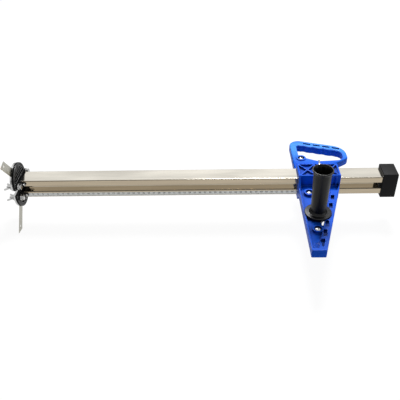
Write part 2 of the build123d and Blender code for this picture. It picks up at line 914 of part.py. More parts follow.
def make_lock_insert():
    place = at_fence(lock_inset, 0)
    top = box_height + lock_boss_rise
    base = top - lock_insert_length
    sleeve = rod(lock_insert_radius, base, top, place, "Z")
    return sleeve - rod(lock_screw_radius + thread_play, base - overrun, top + overrun, place, "Z")


def make_lock_pad():
    base = tube_top + lock_pad_lift
    return rod(lock_pad_radius, base, base + lock_pad_height, at_fence(lock_inset, 0), "Z")


def both_sides(maker):
    """The four pieces that a bolt place gives above and below the gap."""
    upper = [maker(place) for place in bolt_places()]
    return upper + [lower(piece) for piece in upper]


holder_screw_face = -(tube_depth / 2 + plug_fit + holder_cheek)
holder_screw = make_fixing_screw(holder_screw_x(), holder_screw_face, fixing_screw_length, -1)
cap_screw = make_fixing_screw(cap_screw_x(), cap_depth / 2, cap_screw_length, 1)
upper_tube = make_tube()
upper_holder = make_holder()
upper_clamp = make_clamp_plate()
upper_blade = make_blade()
wing_nuts = both_sides(make_wing_nut)
nut_washers = both_sides(lambda place: make_washer(nut_washer_radius, nut_face, place))
head_washers = both_sides(lambda place: make_washer(head_washer_radius, head_face - washer_thickness, place))

nodes = {
    "upper_tube": upper_tube,
    "lower_tube": lower(upper_tube),
    "end_cap": make_end_cap(),
    "cap_screws": group([cap_screw, lower(cap_screw)]),
    "upper_knife_holder": upper_holder,
    "lower_knife_holder": lower(upper_holder),
    "holder_screws": group([holder_screw, lower(holder_screw)]),
    "upper_clamp_plate": upper_clamp,
    "lower_clamp_plate": lower(upper_clamp),
    "knife_bolts": group(both_sides(make_bolt)),
    "head_washers": group(head_washers),
    "nut_washer_upper_front": nut_washers[0],
    "nut_washer_upper_rear": nut_washers[1],
    "nut_washer_lower_front": nut_washers[2],
    "nut_washer_lower_rear": nut_washers[3],
    "upper_blade": upper_blade,
    "lower_blade": lower(upper_blade),
    "wing_nut_upper_front": wing_nuts[0],
    "wing_nut_upper_rear": wing_nuts[1],
    "wing_nut_lower_front": wing_nuts[2],
    "wing_nut_lower_rear": wing_nuts[3],
    "upper_housing": make_housing(True),
    "lower_housing": make_housing(False),
    "joint_screws": group([make_joint_screw(u, y) for u, y in boss_places()]),
    "joint_nuts": group(
        [
            lower(
                make_nut(
                    joint_nut_width,
                    joint_nut_height,
                    joint_screw_radius + thread_play,
                    boss_floor,
                    at_fence(u, y),
                )
            )
            for u, y in boss_places()
        ]
    ),
    "grip": make_grip(),
    "grip_bolt": make_grip_bolt(),
    "grip_washer": make_grip_washer(),
    "grip_nut": lower(
        make_nut(
            grip_nut_width,
            grip_nut_height,
            grip_bolt_radius + thread_play,
            grip_nut_floor,
            at_fence(*grip_place()),
        )
    ),
    "lock_screw": make_lock_screw(),
    "lock_insert": make_lock_insert(),
    "lock_pad": make_lock_pad(),
}

for name, shape in nodes.items():
    export_step(shape, f"parts/{name}.step")
    print(name, len(shape.solids()), round(shape.volume))
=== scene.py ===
import json
import math

import bpy
from bpy.props import FloatProperty, FloatVectorProperty, IntProperty, PointerProperty, StringProperty
from bpy.types import Operator, Panel, PropertyGroup
from mathutils import Matrix, Vector


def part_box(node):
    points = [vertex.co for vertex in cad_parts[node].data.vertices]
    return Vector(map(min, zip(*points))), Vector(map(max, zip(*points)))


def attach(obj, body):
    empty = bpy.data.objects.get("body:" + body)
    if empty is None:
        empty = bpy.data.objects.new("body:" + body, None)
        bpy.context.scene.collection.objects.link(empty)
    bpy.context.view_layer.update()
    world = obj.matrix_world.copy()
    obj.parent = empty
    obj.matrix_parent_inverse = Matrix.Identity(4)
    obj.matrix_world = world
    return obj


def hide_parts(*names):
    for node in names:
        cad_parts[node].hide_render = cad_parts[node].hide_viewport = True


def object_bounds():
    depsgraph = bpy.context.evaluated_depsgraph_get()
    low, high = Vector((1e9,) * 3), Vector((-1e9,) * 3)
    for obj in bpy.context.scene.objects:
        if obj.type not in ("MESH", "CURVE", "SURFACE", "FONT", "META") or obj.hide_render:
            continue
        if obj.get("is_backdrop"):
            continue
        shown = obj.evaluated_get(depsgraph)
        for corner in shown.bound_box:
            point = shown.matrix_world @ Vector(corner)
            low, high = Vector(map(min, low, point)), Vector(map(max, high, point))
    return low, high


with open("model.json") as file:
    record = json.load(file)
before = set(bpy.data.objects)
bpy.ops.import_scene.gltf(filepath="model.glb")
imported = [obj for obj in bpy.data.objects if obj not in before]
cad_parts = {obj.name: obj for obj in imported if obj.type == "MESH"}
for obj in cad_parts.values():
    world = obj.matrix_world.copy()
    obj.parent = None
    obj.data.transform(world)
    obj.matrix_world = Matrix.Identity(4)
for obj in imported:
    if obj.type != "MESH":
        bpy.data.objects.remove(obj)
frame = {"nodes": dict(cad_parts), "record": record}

bl_info = {
    "name": "Drywall Cutter Dresser",
    "version": (1, 0, 0),
    "blender": (4, 5, 0),
    "location": "3D View > Sidebar > Drywall Cutter",
    "description": "Finishes, moulded edges, ruler and stage for a double-sided drywall cutter",
    "category": "Object",
}

MM = 0.001
CENTIMETRE = 10 * MM
TUBE_LOW, TUBE_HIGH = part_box("lower_tube")

# A Mix node gives its number and colour sockets the same names, so these are their places.
FACTOR, NUMBER_A, NUMBER_B, COLOUR_A, COLOUR_B = 0, 2, 3, 6, 7
NUMBER_OUT, COLOUR_OUT = 0, 2

# Most of what Blender's noise gives lies between these two.
NOISE_LOW, NOISE_HIGH = 0.3, 0.7

PLASTIC_IOR = 1.5

# For the mesh of a CAD copy, before its edges are rounded
MERGE_GAP = 0.01 * MM
FLAT_ANGLE = math.radians(0.6)
SMOOTH_ANGLE = math.radians(35)

SENSOR_MM = 36


class FinishSettings(PropertyGroup):
    """Colours of the finishes, as sRGB hex values."""

    tube: StringProperty(
        name="Tube steel", description="Polished stainless steel of the tubes", default="#ECE7DB"
    )
    # Painted shade: the narrow sides and the gap's faces are given this darker, warmer colour.
    side: StringProperty(
        name="Tube sides", description="Darker, warmer steel of the tubes' narrow sides", default="#B5A892"
    )
    zinc: StringProperty(
        name="Zinc plate", description="Bright plating on bolts, nuts and screws", default="#C4C4C3"
    )
    blade: StringProperty(
        name="Blade steel", description="Ground carbon steel of the blades", default="#A6A499"
    )
    clamp: StringProperty(
        name="Clamp steel", description="Pressed steel of the clamp plates", default="#CFCFCE"
    )
    blue: StringProperty(name="Blue nylon", description="Moulded blue of the sliding body", default="#005CE6")
    # Painted sheen and light: the loop's faces are given this paler blue.
    pale: StringProperty(
        name="Painted sheen blue", description="Blue of the loop, painted paler as sheen and light", default="#4A97F9"
    )
    holder: StringProperty(
        name="Holder nylon", description="Black moulding of the knife holders", default="#080809"
    )
    cap: StringProperty(name="Cap plastic", description="Black moulding of the end cap", default="#0C0C0D")
    grip: StringProperty(
        name="Grip plastic", description="Black moulding of the upright grip", default="#101113"
    )
    brass: StringProperty(name="Brass", description="Threaded insert and pressure pad", default="#C6A15C")
    ink: StringProperty(name="Ruler ink", description="Printed ruler marks", default="#2C2B29")
    band: StringProperty(
        name="Ruler ground", description="Pale ground of the printed ruler", default="#D6D8D6"
    )


class EdgeSettings(PropertyGroup):
    """Rounding of the mouldings' edges."""

    width: FloatProperty(
        name="Edge width", description="Width of the rounding on the mouldings' edges", default=0.0004,
        unit="LENGTH",
    )
    angle: FloatProperty(
        name="Sharp angle", description="Edges sharper than this are rounded", default=math.radians(28),
        unit="ROTATION",
    )
    segments: IntProperty(name="Segments", description="Faces across one rounded edge", default=2)


class RulerSettings(PropertyGroup):
    """Sizes of the printed ruler on the lower tube."""

    first: FloatProperty(
        name="First mark", description="Distance of the first mark from the blades", default=0.03,
        unit="LENGTH",
    )
    last: FloatProperty(
        name="Last mark", description="Distance of the last mark from the blades", default=0.61,
        unit="LENGTH",
    )
    margin: FloatProperty(
        name="Margin", description="From the tube's edges to the ground, and past the last mark",
        default=0.0018, unit="LENGTH",
    )
    band: FloatProperty(
        name="Band height", description="Height of the pale printed ground", default=0.0078, unit="LENGTH"
    )
    long_mark: FloatProperty(
        name="Long mark", description="Height of the mark at each centimetre", default=0.0030, unit="LENGTH"
    )
    middle_mark: FloatProperty(
        name="Middle mark", description="Height of the mark at each half centimetre", default=0.0024,
        unit="LENGTH",
    )
    short_mark: FloatProperty(
        name="Short mark", description="Height of the mark at each millimetre", default=0.0016, unit="LENGTH"
    )
    line: FloatProperty(name="Line width", description="Width of one mark", default=0.0002, unit="LENGTH")
    figure: FloatProperty(
        name="Figure size", description="Type size of the numbers", default=0.0050, unit="LENGTH"
    )
    gap: FloatProperty(
        name="Figure gap", description="From the long marks to the numbers", default=0.0007, unit="LENGTH"
    )
    weight: FloatProperty(
        name="Figure weight", description="How much the numbers' strokes are thickened", default=0.00009,
        unit="LENGTH",
    )
    lift: FloatProperty(
        name="Ink lift", description="How far the print stands off the steel", default=0.00003, unit="LENGTH"
    )


class StageSettings(PropertyGroup):
    """Backdrop, lamps, camera and lens."""

    white: StringProperty(name="Backdrop", description="Backdrop as the camera sees it", default="#FFFFFF")
    paper: StringProperty(name="Paper", description="Floor paper as the lamps light it", default="#C4C4C4")
    glow: FloatProperty(name="Paper white", description="White that the paper shows by itself", default=0.93)
    shadow: FloatProperty(name="Shadow", description="Share of the object's shadow that shows", default=0.22)
    floor: FloatProperty(name="Floor", description="Side of the square floor", default=12.0, unit="LENGTH")
    key: FloatProperty(
        name="Key lamp", description="Power of the lamp behind the object", default=41.0, unit="POWER"
    )
    key_place: FloatVectorProperty(
        name="Key place", description="Where the key lamp hangs", default=(0.65, 1.0, 1.6), unit="LENGTH"
    )
    key_size: FloatProperty(
        name="Key size", description="Side of the key lamp's square", default=0.7, unit="LENGTH"
    )
    fill: FloatProperty(
        name="Fill lamp", description="Power of the soft lamp at the right", default=4.0, unit="POWER"
    )
    fill_place: FloatVectorProperty(
        name="Fill place", description="Where the fill lamp hangs", default=(2.0, -0.4, 0.6), unit="LENGTH"
    )
    fill_size: FloatProperty(
        name="Fill size", description="Side of the fill lamp's square", default=0.8, unit="LENGTH"
    )
    aim: FloatVectorProperty(
        name="Aim", description="Point that the lamps face", default=(0.4, 0.0, 0.0), unit="LENGTH"
    )
    wall: FloatProperty(
        name="Dark wall", description="How light the room's lower wall shows in bright metal", default=0.06
    )
    wall_top: FloatProperty(
        name="Wall top", description="Rise of a reflected ray at which the wall starts to fade", default=0.25
    )
    wall_end: FloatProperty(
        name="Wall end", description="Rise of a reflected ray at which the room is white", default=0.45
    )
    sky: FloatProperty(name="Room light", description="Strength of the even light all round", default=0.2)
    lens: FloatProperty(name="Lens", description="Focal length on a 36 mm sensor", default=49.354)
    near: FloatProperty(
        name="Near limit", description="Nearest distance that the camera sees", default=0.01, unit="LENGTH"
    )
    place: FloatVectorProperty(
        name="Camera place", description="Where the camera stands", default=(0.39475, -0.8889, 0.61437),
        unit="LENGTH",
    )
    pitch: FloatProperty(
        name="Pitch", description="Angle of the view below level", default=math.radians(36.477),
        unit="ROTATION",
    )
    yaw: FloatProperty(
        name="Yaw", description="Turn of the view to the left of the far side", default=math.radians(2.293),
        unit="ROTATION",
    )
    roll: FloatProperty(
        name="Roll", description="Tilt of the camera round its own axis", default=math.radians(-1.909),
        unit="ROTATION",
    )


def linear(hex_colour):
    """Turns an sRGB hex value into the linear colour that a shader socket takes."""
    parts = [int(hex_colour[i : i + 2], 16) / 255 for i in (1, 3, 5)]
    return [p / 12.92 if p <= 0.04045 else ((p + 0.055) / 1.055) ** 2.4 for p in parts] + [1.0]


def wire(tree, node, sockets):
    """Gives a node's inputs a value or another node's output."""
    for name, value in sockets.items():
        if isinstance(value, bpy.types.NodeSocket):
            tree.links.new(value, node.inputs[name])
        else:
            node.inputs[name].default_value = value
    return node


def add(tree, kind, sockets, **settings):
    """Adds a node: settings are its properties, sockets its inputs."""
    node = tree.nodes.new(kind)
    for name, value in settings.items():
        setattr(node, name, value)
    return wire(tree, node, sockets)


def new_material(name):
    """Material with its node tree and shader."""
    material = bpy.data.materials.new(name)
    material.use_nodes = True
    return material, material.node_tree, material.node_tree.nodes["Principled BSDF"]


def grain(tree, size_mm, low=0.0, high=1.0, stretch=(1, 1, 1), detail=3.0, rough=0.5):
    """Noise from low to high on object coordinates: features of size_mm, longer where stretch is over 1."""
    place = add(tree, "ShaderNodeTexCoord", {})
    per_axis = [1 / (s * size_mm * MM) for s in stretch]
    scaled = add(tree, "ShaderNodeMapping", {"Vector": place.outputs["Object"], "Scale": per_axis})
    noise = add(
        tree, "ShaderNodeTexNoise",
        {"Vector": scaled.outputs["Vector"], "Scale": 1.0, "Detail": detail, "Roughness": rough},
    )
    ends = {"From Min": NOISE_LOW, "From Max": NOISE_HIGH, "To Min": low, "To Max": high}
    return add(tree, "ShaderNodeMapRange", {"Value": noise.outputs["Fac"], **ends}).outputs["Result"]


def ramp(tree, axis, start, stop, high=1.0, mirrored=False):
    """Rises from 0 at start to high at stop along one object axis; mirrored takes both sides alike."""
    place = add(tree, "ShaderNodeTexCoord", {})
    value = add(tree, "ShaderNodeSeparateXYZ", {0: place.outputs["Object"]}).outputs[axis]
    if mirrored:
        value = add(tree, "ShaderNodeMath", {0: value}, operation="ABSOLUTE").outputs[0]
    ends = {"From Min": start, "From Max": stop, "To Max": high}
    return add(tree, "ShaderNodeMapRange", {"Value": value, **ends}).outputs["Result"]


def shade(colour, factor):
    """Linear colour times a factor: darker under 1, lighter over 1."""
    return [c * factor for c in colour[:3]] + [1.0]


def polished_stainless(colour, shaded_side_colour, half_depth, half_gap, outer):
    """Drawn stainless tube, buffed along its length: fine lines, cloudy reflections, narrow sides and gap
    faces painted darker as shade, corners painted dark as a reflection.
    """
    material, tree, shader = new_material("buffed_stainless_steel")
    wide, shaded_side = linear(colour), linear(shaded_side_colour)

    # Painted shade: the narrow sides are made warmer and darker, and so are the gap's faces, by a share. The
    # two finishes meet between these two distances from the tube's edge.
    near_edge, off_edge = 0.3 * MM, 0.8 * MM
    gap_share = 0.75
    narrow_side = ramp(tree, "Y", half_depth - off_edge, half_depth - near_edge, mirrored=True)
    outer_half = ramp(tree, "Z", half_gap + near_edge, half_gap + off_edge, mirrored=True)
    gap_side = add(
        tree, "ShaderNodeMath", {0: outer_half, 1: -gap_share, 2: gap_share}, operation="MULTIPLY_ADD"
    )
    side = add(tree, "ShaderNodeMath", {0: narrow_side, 1: gap_side.outputs[0]}, operation="MAXIMUM")

    # Reflections cloud over in patches some 26 mm across, drawn out six times along the tube.
    cloud_mm, cloud_stretch, cloud_shade = 26.0, (6, 1, 1), 0.72
    patches = grain(tree, cloud_mm, stretch=cloud_stretch)
    clouds = add(
        tree, "ShaderNodeMix", {FACTOR: patches, COLOUR_A: shade(wide, cloud_shade), COLOUR_B: wide},
        data_type="RGBA",
    )

    # Draw lines of 0.3 mm are far under a pixel, so they are drawn 1.2 mm wide and 120 mm long.
    line_mm, line_stretch, line_shade = 1.2, (100, 1, 1), 0.8
    line_depth, line_strength = 0.01 * MM, 0.2
    lines = grain(tree, line_mm, stretch=line_stretch)
    drawn = add(
        tree, "ShaderNodeMix", {FACTOR: lines, COLOUR_A: shade(shaded_side, line_shade), COLOUR_B: shaded_side},
        data_type="RGBA",
    )
    faces = add(
        tree, "ShaderNodeMix",
        {FACTOR: side.outputs[0], COLOUR_A: clouds.outputs[COLOUR_OUT], COLOUR_B: drawn.outputs[COLOUR_OUT]},
        data_type="RGBA",
    )

    # Painted dark reflection: the rounded corners are made dark grey and matt. Each pair is where the dark
    # corner starts and where it is full, measured from the tube's edge.
    side_start, side_full = 1.5 * MM, 1.0 * MM
    face_start, face_full = 1.3 * MM, 0.6 * MM
    gap_start, gap_full = 1.6 * MM, 0.8 * MM
    dark_corner_shade, corner_roughness = 0.3, 0.45
    by_side = ramp(tree, "Y", half_depth - side_start, half_depth - side_full, mirrored=True)
    by_face = ramp(tree, "Z", outer - face_start, outer - face_full, mirrored=True)
    by_gap = ramp(tree, "Z", half_gap + gap_start, half_gap + gap_full, mirrored=True)
    by_both = add(tree, "ShaderNodeMath", {0: by_face, 1: by_gap}, operation="MAXIMUM")
    corner = add(tree, "ShaderNodeMath", {0: by_side, 1: by_both.outputs[0]}, operation="MULTIPLY")
    dark_corner = add(
        tree, "ShaderNodeMix",
        {FACTOR: corner.outputs[0], COLOUR_A: faces.outputs[COLOUR_OUT], COLOUR_B: shade(shaded_side, dark_corner_shade)},
        data_type="RGBA",
    )

    # Buffed faces cloud a little in gloss too, and the gap's faces mirror most sharply.
    buffed = grain(tree, cloud_mm, 0.07, 0.13, cloud_stretch)
    gap_roughness = 0.0
    sheen = add(
        tree, "ShaderNodeMix", {FACTOR: gap_side.outputs[0], NUMBER_A: buffed, NUMBER_B: gap_roughness}
    )
    gloss = add(
        tree, "ShaderNodeMix",
        {FACTOR: corner.outputs[0], NUMBER_A: sheen.outputs[NUMBER_OUT], NUMBER_B: corner_roughness},
    )
    bump = add(tree, "ShaderNodeBump", {"Height": lines, "Distance": line_depth, "Strength": line_strength})
    wire(tree, shader, {
        "Base Color": dark_corner.outputs[COLOUR_OUT], "Metallic": 1.0, "Roughness": gloss.outputs[NUMBER_OUT],
        "Normal": bump.outputs[0],
    })
    return material


def metal(name, colour, shadow, size_mm, roughness, depth_mm, **pattern):
    """Worked metal: one grain mottles its colour, its gloss and its surface."""
    material, tree, shader = new_material(name)
    marks = grain(tree, size_mm, **pattern)
    tone = add(
        tree, "ShaderNodeMix",
        {FACTOR: marks, COLOUR_A: shade(linear(colour), shadow), COLOUR_B: linear(colour)},
        data_type="RGBA",
    )
    gloss = grain(tree, size_mm, *roughness, **pattern)
    bump = add(tree, "ShaderNodeBump", {"Height": marks, "Distance": depth_mm * MM, "Strength": 0.3})
    wire(tree, shader, {
        "Base Color": tone.outputs[COLOUR_OUT], "Metallic": 1.0, "Roughness": gloss,
        "Normal": bump.outputs[0],
    })
    return material


def moulded_plastic(name, colour, roughness, texture_mm, depth_mm, specular, reach_mm, pale=None):
    """Moulded plastic: an even eroded texture breaks up highlights, gloss is uneven, corners are darkened
    with painted shade.
    """
    material, tree, shader = new_material(name)

    # Melt that cooled unevenly leaves soft patches some 30 mm across.
    flow_mm, flow_shade = 30.0, 0.85
    flow = grain(tree, flow_mm)
    tone = add(
        tree, "ShaderNodeMix",
        {FACTOR: flow, COLOUR_A: shade(linear(colour), flow_shade), COLOUR_B: linear(colour)},
        data_type="RGBA",
    )
    # Painted sheen and light: the loop is paler.
    if pale:
        tone = hand_rubbed(tree, tone, pale)

    # Painted shade: corners, pockets and bores are darkened within reach_mm of the next wall.
    corner_shade, shade_start, shade_end = 0.1, 0.35, 0.95
    near = add(tree, "ShaderNodeAmbientOcclusion", {"Distance": reach_mm * MM}, samples=8)
    openness = {"Value": near.outputs["AO"], "From Min": shade_start, "From Max": shade_end}
    clear = add(tree, "ShaderNodeMapRange", openness)
    corner_shaded = add(
        tree, "ShaderNodeMix",
        {
            FACTOR: clear.outputs[0], COLOUR_A: shade(linear(colour), corner_shade),
            COLOUR_B: tone.outputs[COLOUR_OUT],
        },
        data_type="RGBA",
    )

    # The mould's eroded grain is about 0.1 mm, too fine to show, so texture_mm draws it coarser.
    texture = grain(tree, texture_mm, detail=4.0, rough=0.6)
    bump = add(tree, "ShaderNodeBump", {"Height": texture, "Distance": depth_mm * MM, "Strength": 0.35})
    wire(tree, shader, {
        "Base Color": corner_shaded.outputs[COLOUR_OUT], "Roughness": grain(tree, flow_mm, *roughness),
        "IOR": PLASTIC_IOR, "Specular IOR Level": specular, "Normal": bump.outputs[0],
    })
    return material


def hand_rubbed(tree, tone, pale):
    """Paler blue, painted as sheen and light, on the loop's upper and lower faces, most on its ends and less
    on the bar with the slots.
    """
    loop_start, loop_full = 50 * MM, 105 * MM
    bar_start, bar_full, bar_share = 128 * MM, 142 * MM, 0.65
    face_start, face_full = 5.5 * MM, 7.5 * MM
    loop = ramp(tree, "Y", loop_start, loop_full)
    bar = ramp(tree, "Y", bar_start, bar_full, high=bar_share)
    ends = add(tree, "ShaderNodeMath", {0: loop, 1: bar}, operation="SUBTRACT")
    faces = ramp(tree, "Z", face_start, face_full, mirrored=True)
    paler = add(tree, "ShaderNodeMath", {0: ends.outputs[0], 1: faces}, operation="MULTIPLY")
    return add(
        tree, "ShaderNodeMix",
        {FACTOR: paler.outputs[0], COLOUR_A: tone.outputs[COLOUR_OUT], COLOUR_B: linear(pale)},
        data_type="RGBA",
    )


def rubbed_plastic(name, colour, roughness, lighter, specular):
    """The same plastic along its edges, polished and paled a little: partly wear from hands and the bench,
    partly a painted highlight.
    """
    material, tree, shader = new_material(name)
    wear_glint_mm, scuff_spread = 3.0, 0.14
    pattern = {"detail": 5.0, "rough": 0.7}
    # The paler colour is partly edge wear and partly a painted highlight.
    pale = [c + (1 - c) * lighter for c in linear(colour)[:3]] + [1.0]
    wear_and_glint = grain(tree, wear_glint_mm, **pattern)
    tone = add(
        tree, "ShaderNodeMix", {FACTOR: wear_and_glint, COLOUR_A: linear(colour), COLOUR_B: pale}, data_type="RGBA"
    )
    gloss = grain(tree, wear_glint_mm, roughness, roughness + scuff_spread, **pattern)
    wire(tree, shader, {
        "Base Color": tone.outputs[COLOUR_OUT], "Roughness": gloss, "IOR": PLASTIC_IOR,
        "Specular IOR Level": specular,
    })
    return material


def ruler_ground(colour):
    """Pale etched ground of the ruler: matt, with the steel's drawn lines just showing, 0.8 mm wide."""
    material, tree, shader = new_material("etched_ruler_ground")
    line_mm, line_stretch, line_shade = 0.8, (60, 1, 1), 0.85
    lines = grain(tree, line_mm, stretch=line_stretch)
    tone = add(
        tree, "ShaderNodeMix",
        {FACTOR: lines, COLOUR_A: shade(linear(colour), line_shade), COLOUR_B: linear(colour)},
        data_type="RGBA",
    )
    gloss = grain(tree, line_mm, 0.4, 0.5, line_stretch)
    wire(tree, shader, {"Base Color": tone.outputs[COLOUR_OUT], "Metallic": 0.6, "Roughness": gloss})
    return material


def ruler_ink(colour):
    """Screen-printed ink: matt, a little thin where the screen left it."""
    material, tree, shader = new_material("ruler_ink")
    screen_mm, thin_gain = 0.25, 1.6
    screen = grain(tree, screen_mm)
    tone = add(
        tree, "ShaderNodeMix",
        {FACTOR: screen, COLOUR_A: linear(colour), COLOUR_B: shade(linear(colour), thin_gain)},
        data_type="RGBA",
    )
    wire(tree, shader, {"Base Color": tone.outputs[COLOUR_OUT], "Roughness": 0.6})
    return material


def dress(slot, material):
    """Gives every CAD node of one material slot its finish."""
    for part in frame["record"]["subparts"]:
        if part["material_slot"] == slot:
            node = frame["nodes"][part["node"]]
            for index in range(len(node.material_slots)):
                node.material_slots[index].link = "OBJECT"
                node.material_slots[index].material = material


def select_only(*objects):
    """Selects these objects alone and makes the first one active."""
    bpy.ops.object.select_all(action="DESELECT")
    for item in objects:
        item.select_set(True)
    bpy.context.view_layer.objects.active = objects[0]


def body_of(node):
    """Body that carries a CAD node."""
    return next(name for name, nodes in frame["record"]["behaviour"]["bodies"].items() if node in nodes)


def mark_edges(mesh, edges):
    """Marks the sharp edges to round. A face smaller than the rounding has no room for one."""
    sides = {}
    for face in mesh.polygons:
        for key in face.edge_keys:
            sides.setdefault(key, []).append((face.normal, face.area))
    marks = mesh.attributes.new("bevel_weight_edge", "FLOAT", "EDGE")
    for edge in mesh.edges:
        (first, area), (second, other_area) = sides[edge.key]
        sharp = first.angle(second) > edges.angle
        marks.data[edge.index].value = float(sharp and min(area, other_area) > edges.width**2)


def rounded_copy(node, edges, materials):
    """Copy of a CAD node with its sharp edges rounded off; the second material goes on the roundings."""
    source = frame["nodes"][node]
    piece = source.copy()
    piece.data = source.data.copy()
    piece.name = f"{node}_shell"
    bpy.context.collection.objects.link(piece)
    piece.hide_render = False
    select_only(piece)
    bpy.ops.object.mode_set(mode="EDIT")
    bpy.ops.mesh.select_all(action="SELECT")
    bpy.ops.mesh.remove_doubles(threshold=MERGE_GAP)
    bpy.ops.mesh.dissolve_limited(angle_limit=FLAT_ANGLE)
    bpy.ops.object.mode_set(mode="OBJECT")
    piece.data.materials.clear()
    for material in materials:
        piece.data.materials.append(material)
    for index in range(len(piece.material_slots)):
        piece.material_slots[index].link = "DATA"
    mark_edges(piece.data, edges)
    bevel = piece.modifiers.new("edges", "BEVEL")
    bevel.width = edges.width
    bevel.segments = edges.segments
    bevel.limit_method = "WEIGHT"
    bevel.use_clamp_overlap = False
    bevel.harden_normals = True
    bevel.material = len(materials) - 1
    # Smoothing by angle comes before the rounding, so that the rounding's own normals stay.
    bpy.ops.object.shade_smooth_by_angle(angle=SMOOTH_ANGLE)
    bpy.ops.object.modifier_apply(modifier=bevel.name)
    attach(piece, body_of(node))
    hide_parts(node)


class CUTTER_OT_metals(Operator):
    """Finish the tubes, blades, clamp plates, fasteners and brass"""

    bl_idname = "cutter.metals"
    bl_label = "Metals"

    def execute(self, context):
        look = context.scene.cutter_finish
        half_depth, half_gap, outer = TUBE_HIGH[1], -TUBE_HIGH[2], -TUBE_LOW[2]
        dress("tube_steel", polished_stainless(look.tube, look.side, half_depth, half_gap, outer))
        # Zinc plate on cold-headed parts is a slightly mottled mirror.
        zinc = metal(
            "zinc_plate", look.zinc, shadow=0.8, size_mm=0.9, roughness=(0.12, 0.26), depth_mm=0.03
        )
        # Blades are ground across, in lines 0.5 mm apart, under a thin film of oil that dulls them.
        blade = metal(
            "ground_blade_steel", look.blade, shadow=0.85, size_mm=0.5, roughness=(0.2, 0.32), depth_mm=0.01,
            stretch=(1, 1, 12),
        )
        # Plates are stamped and tumbled, which leaves satin steel with small scratches in every direction.
        clamp = metal(
            "tumbled_steel", look.clamp, shadow=0.9, size_mm=1.4, roughness=(0.24, 0.42), depth_mm=0.03,
            detail=6.0, rough=0.7,
        )
        # Brass keeps the rings that the lathe leaves.
        brass = metal(
            "turned_brass", look.brass, shadow=0.9, size_mm=0.3, roughness=(0.22, 0.34), depth_mm=0.02,
            stretch=(8, 8, 1),
        )
        dress("zinc_steel", zinc)
        dress("blade_steel", blade)
        dress("clamp_steel", clamp)
        dress("insert_brass", brass)
        return {"FINISHED"}


class CUTTER_OT_body(Operator):
    """Round the edges of the blue sliding body and finish its nylon"""

    bl_idname = "cutter.body"
    bl_label = "Sliding body"

    def execute(self, context):
        look = context.scene.cutter_finish
        edges = context.scene.cutter_edges
        nylon = moulded_plastic(
            "moulded_blue_nylon", look.blue, roughness=(0.36, 0.48), texture_mm=0.9, depth_mm=0.03,
            specular=0.1, reach_mm=10.0, pale=look.pale,
        )
        paler = rubbed_plastic(
            "worn_highlit_blue_nylon", look.blue, roughness=0.26, lighter=0.05, specular=0.3
        )
        for node in ("upper_housing", "lower_housing"):
            rounded_copy(node, edges, (nylon, paler))
        return {"FINISHED"}


class CUTTER_OT_black_parts(Operator):
    """Round the edges of the knife holders, end cap and grip and finish their black plastics"""

    bl_idname = "cutter.black_parts"
    bl_label = "Black mouldings"

    def execute(self, context):
        look = context.scene.cutter_finish
        edges = context.scene.cutter_edges
        finishes = {
            ("upper_knife_holder", "lower_knife_holder"): (
                moulded_plastic(
                    "glass_filled_black_nylon", look.holder, roughness=(0.3, 0.4), texture_mm=0.8,
                    depth_mm=0.04, specular=0.07, reach_mm=5.0,
                ),
                # The holders' edges are paled most: partly wear, partly a painted highlight on ribs and rims.
                rubbed_plastic(
                    "worn_highlit_black_nylon", look.holder, roughness=0.2, lighter=0.12, specular=0.8
                ),
            ),
            ("end_cap",): (
                moulded_plastic(
                    "grained_black_plastic", look.cap, roughness=(0.4, 0.52), texture_mm=0.7,
                    depth_mm=0.05, specular=0.12, reach_mm=5.0,
                ),
                rubbed_plastic(
                    "worn_highlit_black_plastic", look.cap, roughness=0.28, lighter=0.02, specular=0.4
                ),
            ),
            ("grip",): (
                moulded_plastic(
                    "satin_black_plastic", look.grip, roughness=(0.34, 0.44), texture_mm=0.7,
                    depth_mm=0.02, specular=0.2, reach_mm=5.0,
                ),
                rubbed_plastic(
                    "worn_highlit_satin_plastic", look.grip, roughness=0.24, lighter=0.02, specular=0.4
                ),
            ),
        }
        for nodes, materials in finishes.items():
            for node in nodes:
                rounded_copy(node, edges, materials)
        return {"FINISHED"}


